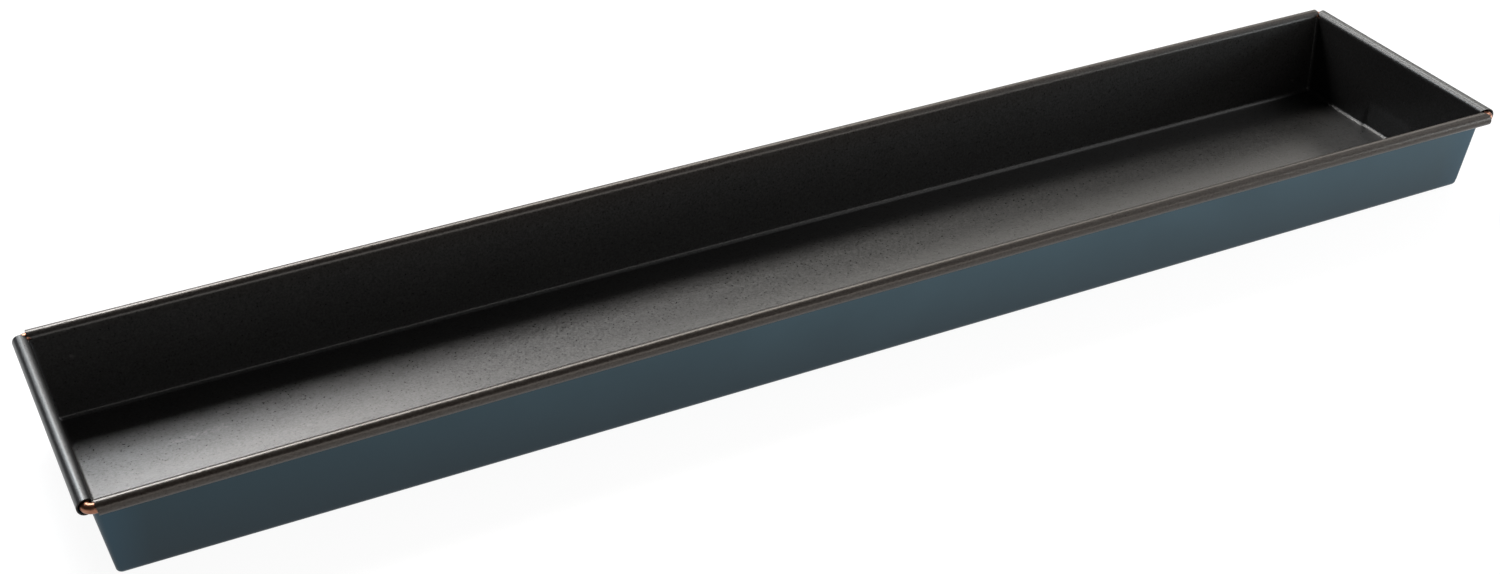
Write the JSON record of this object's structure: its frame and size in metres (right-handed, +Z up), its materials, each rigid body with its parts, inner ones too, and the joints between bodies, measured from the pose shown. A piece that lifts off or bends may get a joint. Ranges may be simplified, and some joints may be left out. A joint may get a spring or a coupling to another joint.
{
  "type": "rectangular tart pan",
  "caption": "Long shallow rectangular tart pan folded from coated sheet steel, with outward rolled rims around a copper-plated wire that shows at the corners.",
  "frame": {"origin": "middle of the pan's length and width, on the surface it stands on", "axes": "+X along the pan's length, +Y across it, +Z up out of the open top"},
  "size_m": [0.5, 0.1018, 0.0314],
  "materials": {
    "coated_steel": "satin, fine-grained non-stick coat inside and on the rim, blue-grey coat outside",
    "copper_wire": "drawn, copper-plated, slightly tarnished"
  },
  "bodies": {
    "root": {"pan_body": "coated_steel", "rim_wire": "copper_wire"}
  },
  "joints": []
}
